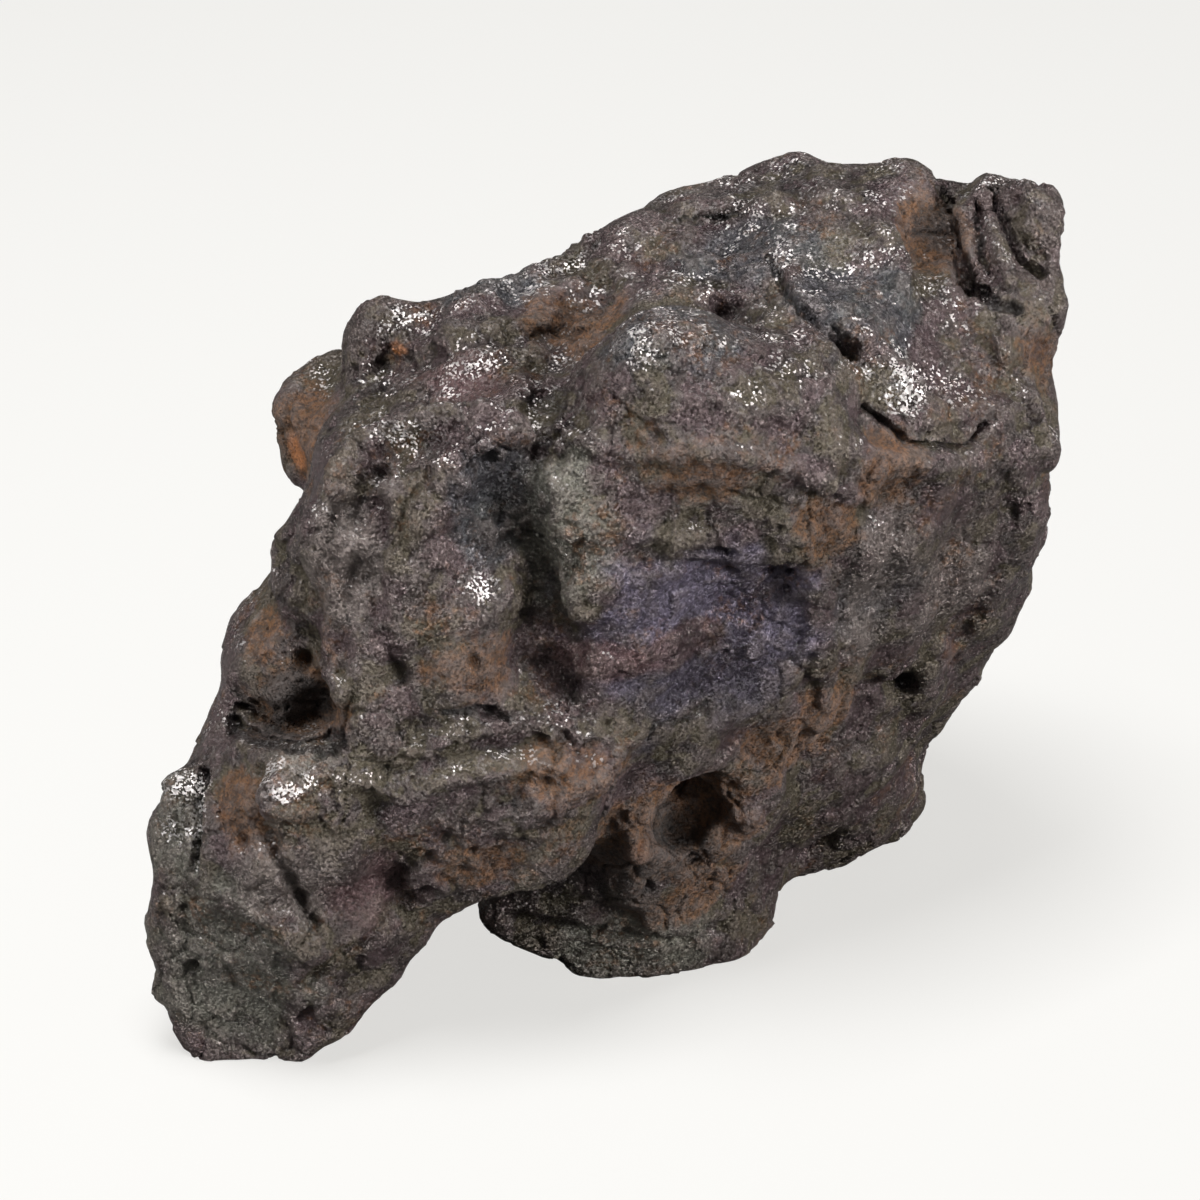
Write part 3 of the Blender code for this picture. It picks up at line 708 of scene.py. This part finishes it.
class Board:
    """Adds shader nodes to a tree and joins them up."""

    def __init__(self, tree: bpy.types.NodeTree) -> None:
        """Starts on a tree.

        Args:
            tree: the tree to add nodes to.
        """
        self.tree = tree

    def node(self, kind: str, settings: dict | None = None, **inputs) -> bpy.types.Node:
        """Adds a node.

        Args:
            kind: the node's type, without the ShaderNode that all of them start with.
            settings: properties of the node.
            inputs: a value or an output for each input, with _ for a space in its name.

        Returns:
            The new node.
        """
        node = self.tree.nodes.new("ShaderNode" + kind)
        for name, value in (settings or {}).items():
            setattr(node, name, value)
        for name, value in inputs.items():
            self.put(node.inputs[name.replace("_", " ")], value)
        return node

    def put(self, socket: bpy.types.NodeSocket, value: object) -> None:
        """Links an output to a socket, or sets the socket's own value."""
        if isinstance(value, bpy.types.NodeSocket):
            self.tree.links.new(value, socket)
        elif socket.type == "RGBA":
            socket.default_value = (*value, 1)
        else:
            socket.default_value = value

    def maths(self, operation: str, *values: object, clamp: bool = False) -> bpy.types.NodeSocket:
        """The result of a Math node on one to three values."""
        node = self.node("Math", {"operation": operation, "use_clamp": clamp})
        for socket, value in zip(node.inputs, values):
            self.put(socket, value)
        return node.outputs[0]

    def vector(self, operation: str, *values: object) -> bpy.types.Node:
        """A Vector Math node on one to three values."""
        node = self.node("VectorMath", {"operation": operation})
        for socket, value in zip(node.inputs, values):
            self.put(socket, value)
        return node

    def noise(self, place: object, size: float, detail: float, roughness: float = 0.6) -> bpy.types.NodeSocket:
        """Fractal noise of about 0 to 1, whose largest features have this size."""
        node = self.node("TexNoise", Vector=place, Scale=1 / size, Detail=detail, Roughness=roughness)
        return node.outputs["Factor"] if "Factor" in node.outputs else node.outputs["Fac"]

    def rise(self, value: object, low: float, high: float) -> bpy.types.NodeSocket:
        """Nothing below low, one above high and a soft rise between them."""
        node = self.node("MapRange", {"interpolation_type": "SMOOTHSTEP"}, Value=value)
        node.inputs["From Min"].default_value = low
        node.inputs["From Max"].default_value = high
        return node.outputs["Result"]

    def mix(self, share: object, first: object, second: object, blend: str = "MIX") -> bpy.types.NodeSocket:
        """Blends two colours by a share from 0 to 1."""
        node = self.tree.nodes.new("ShaderNodeMix")
        node.data_type, node.blend_type = "RGBA", blend
        for socket, value in zip((node.inputs[0], node.inputs[6], node.inputs[7]), (share, first, second)):
            self.put(socket, value)
        return node.outputs[2]

    def between(self, share: object, first: object, second: object) -> bpy.types.NodeSocket:
        """Blends two numbers by a share from 0 to 1."""
        node = self.tree.nodes.new("ShaderNodeMix")
        node.data_type = "FLOAT"
        for socket, value in zip((node.inputs[0], node.inputs[2], node.inputs[3]), (share, first, second)):
            self.put(socket, value)
        return node.outputs[0]

    def attribute(self, name: str) -> bpy.types.NodeSocket:
        """A number that the mesh keeps for each vertex."""
        return self.node("Attribute", {"attribute_name": name, "attribute_type": "GEOMETRY"}).outputs["Fac"]


@dataclass(frozen=True)
class Crust:
    """Weathered fusion crust: dark oxides over iron, with rust, glossy grains and bare metal flecks, plus painted
    shade in hollows and cracks and painted light on some flanks.
    """

    name: str = "fusion_crust"
    dark: Colour = (0.014, 0.010, 0.010)
    middle: Colour = (0.074, 0.057, 0.052)
    light: Colour = (0.160, 0.126, 0.115)
    rust_dark: Colour = (0.058, 0.024, 0.007)
    rust_light: Colour = (0.155, 0.064, 0.018)
    ember: Colour = (0.420, 0.160, 0.050)
    sheen: Colour = (0.140, 0.120, 0.172)
    patina: Colour = (0.135, 0.128, 0.104)
    slate: Colour = (0.058, 0.063, 0.071)
    blush: Colour = (0.125, 0.070, 0.070)
    mauve: Colour = (0.092, 0.060, 0.064)
    # Painted light: the colour of the lighter flank and ridge patches.
    painted_light: Colour = (0.160, 0.132, 0.120)
    olive: Colour = (0.078, 0.064, 0.036)
    # Painted shade: the dark of hollows, cracks and recesses, also used for pore specks.
    painted_shade: Colour = (0.012, 0.009, 0.008)
    fleck: Colour = (0.75, 0.71, 0.70)

    def material(self) -> bpy.types.Material:
        """Builds the material.

        Returns:
            The material, with nothing in it but nodes.
        """
        material = bpy.data.materials.new(self.name)
        material.use_nodes = True
        board = Board(material.node_tree)
        shader = material.node_tree.nodes["Principled BSDF"]
        place = board.node("TexCoord").outputs["Object"]
        place = board.vector("SCALE", place).outputs[0]
        place.node.inputs["Scale"].default_value = 1 / MM
        wobble = board.node("TexNoise", Vector=place, Scale=0.35, Detail=3.0).outputs["Color"]
        warped = board.vector("MULTIPLY_ADD", wobble, (2.0, 2.0, 2.0), place).outputs[0]

        grains, flecks = self._grains(board, place)
        colour = self._colour(board, warped, place)
        shine = board.rise(board.noise(warped, 5.0, 4.0), 0.38, 0.62)
        rusty = board.attribute(Stain.RUST.value)
        bare = board.maths("MULTIPLY", flecks, board.maths("SUBTRACT", 1.0, rusty, clamp=True))
        colour = board.mix(bare, colour, self.fleck)
        board.put(shader.inputs["Base Color"], colour)
        dull = board.between(shine, 0.42, 0.24)
        dull = board.between(board.attribute(Stain.GLINT.value), dull, 0.2)
        dull = board.between(rusty, dull, 0.85)
        board.put(shader.inputs["Roughness"], board.between(bare, dull, 0.38))
        board.put(shader.inputs["Metallic"], board.maths("MAXIMUM", bare, board.between(rusty, 0.5, 0.05)))
        board.put(shader.inputs["Normal"], self._bumps(board, place, grains))
        shader.inputs["IOR"].default_value = 1.55
        return material

    def _grains(self, board: Board, place: bpy.types.NodeSocket) -> tuple[bpy.types.NodeSocket, ...]:
        """The height of the tilted grains, and where a grain is bare metal."""
        cell = board.node("TexVoronoi", Vector=place, Scale=1 / 0.22, Randomness=1.0)
        scaled = board.vector("SCALE", place).outputs[0]
        scaled.node.inputs["Scale"].default_value = 1 / 0.22
        offset = board.vector("SUBTRACT", scaled, cell.outputs["Position"]).outputs[0]
        tilt = board.vector("SUBTRACT", cell.outputs["Color"], (0.5, 0.5, 0.5)).outputs[0]
        height = board.vector("DOT_PRODUCT", offset, tilt).outputs["Value"]
        parts = board.node("SeparateColor", Color=cell.outputs["Color"])
        spread = board.maths("MULTIPLY_ADD", board.attribute(Stain.GLINT.value), 0.50, parts.outputs[0])
        rare = board.rise(spread, 1.0, 1.04)
        cluster = board.rise(board.maths("MULTIPLY_ADD", board.attribute(Stain.GLINT.value), 0.10, board.noise(place, 4.0, 4.0)), 0.55, 0.63)
        return height, board.maths("MULTIPLY", rare, board.maths("MAXIMUM", cluster, 0.12))

    def _colour(
        self, board: Board, warped: bpy.types.NodeSocket, place: bpy.types.NodeSocket
    ) -> bpy.types.NodeSocket:
        """The crust's colour with its stains, painted shade and painted light.

        Args:
            board: where the nodes go.
            warped: the place on the stone, bent for the broad patterns.
            place: the place on the stone, for the fine patterns.

        Returns:
            The colour.
        """
        broad = board.noise(warped, 7.0, 6.0, 0.7)
        fine = board.noise(place, 1.1, 5.0, 0.75)
        tone = board.maths("ADD", board.maths("MULTIPLY", broad, 0.55), board.maths("MULTIPLY", fine, 0.45))
        colour = board.mix(board.rise(tone, 0.36, 0.52), self.dark, self.middle)
        colour = board.mix(board.rise(tone, 0.52, 0.68), colour, self.light)
        hue = board.noise(warped, 5.0, 3.0, 0.6)
        colour = board.mix(board.maths("MULTIPLY", board.rise(hue, 0.52, 0.57), 0.7), colour, self.mauve)
        colour = board.mix(board.maths("MULTIPLY", board.rise(hue, 0.48, 0.43), 0.7), colour, self.olive)
        slaty = board.maths("MULTIPLY", self._amount(board, Stain.SLATE, fine), 0.85)
        colour = board.mix(slaty, colour, self.slate)
        colour = board.mix(self._amount(board, Stain.PATINA, fine), colour, self.patina)
        # Painted light: lighter where the listed patches lie.
        colour = board.mix(self._amount(board, Stain.PAINTED_LIGHT, fine), colour, self.painted_light)
        colour = board.mix(self._amount(board, Stain.SHEEN, broad), colour, self.sheen)
        specks = board.noise(place, 0.8, 4.0, 0.7)
        colour = board.mix(self._amount(board, Stain.BLUSH, fine), colour, self.blush)
        rust = board.mix(board.rise(specks, 0.42, 0.60), self.rust_dark, self.rust_light)
        stray = board.maths("MULTIPLY", board.rise(broad, 0.52, 0.64), board.rise(specks, 0.44, 0.58))
        rusty = board.maths("MAXIMUM", self._amount(board, Stain.RUST, specks), board.maths("MULTIPLY", stray, 0.6))
        colour = board.mix(rusty, colour, rust)
        colour = board.mix(self._amount(board, Stain.EMBER, fine), colour, self.ember)
        # Painted shade: darker in hollows, in cracks and in the listed shaded places.
        hollow = board.maths("MULTIPLY", board.attribute("hollow"), 0.55)
        colour = board.mix(hollow, colour, self.painted_shade)
        colour = board.mix(self._amount(board, Stain.PAINTED_SHADE, fine), colour, self.painted_shade)
        # Dark pore specks at random, in the same dark colour as the painted shade.
        pores = board.rise(board.noise(place, 0.5, 3.0, 0.7), 0.46, 0.36)
        colour = board.mix(board.maths("MULTIPLY", pores, 0.6), colour, self.painted_shade)
        crest = board.maths("MULTIPLY", board.attribute("crest"), 0.3)
        return board.mix(crest, colour, self.light)

    def _amount(self, board: Board, stain: Stain, breakup: bpy.types.NodeSocket) -> bpy.types.NodeSocket:
        """How much of a stain shows, broken up by noise."""
        spread = board.maths("MULTIPLY_ADD", board.attribute(stain.value), 1.6, breakup)
        return board.maths("MULTIPLY", board.rise(spread, 0.75, 1.7), 0.85)

    def _bumps(self, board: Board, place: bpy.types.NodeSocket, grains: bpy.types.NodeSocket) -> bpy.types.NodeSocket:
        """The normal after the crust's roughness and grains."""
        scale = board.noise(place, 1.0, 6.0, 0.75)
        rough = board.node("Bump", Height=scale, Distance=1.0 * MM, Strength=1.0)
        tilted = board.node("Bump", Height=grains, Distance=0.42 * MM, Strength=1.0)
        board.put(tilted.inputs["Normal"], rough.outputs[0])
        return tilted.outputs[0]


@dataclass
class Studio:
    """A plain pale floor, soft light from above and the camera."""

    floor_size: float = 6.0
    floor_colour: Colour = (0.20, 0.20, 0.197)
    floor_glow: Colour = (0.69, 0.682, 0.662)
    sky_colour: Colour = (1.0, 0.995, 0.98)
    sky_strength: float = 0.20
    backdrop: Colour = (4.25, 4.19, 4.06)
    elevation: float = math.radians(30.0)
    distance: float = 0.345
    lens: float = 100.0
    target: Point = (-0.00062, -0.0090, 0.042)

    def lay_floor(self) -> None:
        """Lays the floor at the height that the stone stands on."""
        shape = bmesh.new()
        bmesh.ops.create_grid(shape, x_segments=1, y_segments=1, size=self.floor_size / 2)
        mesh = bpy.data.meshes.new("floor")
        shape.to_mesh(mesh)
        shape.free()
        material = bpy.data.materials.new("pale_floor")
        material.use_nodes = True
        surface = material.node_tree.nodes["Principled BSDF"]
        surface.inputs["Base Color"].default_value = (*self.floor_colour, 1)
        board = Board(material.node_tree)
        seen = board.node("LightPath").outputs["Is Camera Ray"]
        board.put(surface.inputs["Emission Color"], board.mix(seen, (0.0, 0.0, 0.0), self.floor_glow))
        surface.inputs["Emission Strength"].default_value = 1.0
        surface.inputs["Roughness"].default_value = 0.9
        surface.inputs["Specular IOR Level"].default_value = 0.1
        mesh.materials.append(material)
        floor = bpy.data.objects.new("floor", mesh)
        bpy.context.scene.collection.objects.link(floor)

    def light(self, stone: bpy.types.Object) -> None:
        """Hangs the lamps and sets the sky.

        Args:
            stone: the object that the side lamps light, without the floor around it.
        """
        only = bpy.data.collections.new("lit_by_side_lamps")
        only.objects.link(stone)
        self._lamp("overhead", (-0.06, -0.06, 0.58), 0.22, 4.3)
        for name, place, power in (("left", (-0.62, -0.26, 0.26), 5.0), ("right", (0.60, -0.26, 0.24), 9.5)):
            self._lamp(name, place, 0.22, power).light_linking.receiver_collection = only
        sky = bpy.data.worlds.new("sky")
        sky.use_nodes = True
        background = sky.node_tree.nodes["Background"]
        board = Board(sky.node_tree)
        seen = board.node("LightPath").outputs["Is Camera Ray"]
        board.put(background.inputs["Color"], board.mix(seen, self.sky_colour, self.backdrop))
        background.inputs["Strength"].default_value = self.sky_strength
        bpy.context.scene.world = sky
        bpy.context.scene.view_settings.view_transform = "Standard"

    def _lamp(self, name: str, place: Point, size: float, power: float) -> bpy.types.Object:
        """One square soft lamp that points at the stone."""
        data = bpy.data.lights.new(name, "AREA")
        data.shape, data.size, data.energy = "SQUARE", size, power
        lamp = bpy.data.objects.new(name, data)
        lamp.location = place
        lamp.rotation_euler = (Vector(place) - Vector(self.target)).to_track_quat("Z", "Y").to_euler()
        bpy.context.scene.collection.objects.link(lamp)
        return lamp

    def set_camera(self) -> None:
        """Puts the camera in front of the stone, looking down on it."""
        data = bpy.data.cameras.new("camera")
        data.lens, data.sensor_width, data.clip_start = self.lens, 36.0, 0.01
        camera = bpy.data.objects.new("camera", data)
        away = Vector((0, -math.cos(self.elevation), math.sin(self.elevation)))
        camera.location = Vector(self.target) + self.distance * away
        camera.rotation_euler = away.to_track_quat("Z", "Y").to_euler()
        bpy.context.scene.collection.objects.link(camera)
        bpy.context.scene.camera = camera


def main() -> None:
    """Builds the stone and the studio."""
    logging.basicConfig(level=logging.INFO, format="%(message)s")
    studio = Studio()
    studio.set_camera()
    stone = Stone().build()
    stone.data.materials.append(Crust().material())
    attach(stone, "root")
    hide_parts("meteorite")
    LOG.info("%s: %d faces", stone.name, len(stone.data.polygons))
    studio.lay_floor()
    studio.light(stone)


if __name__ == "__main__":
    main()
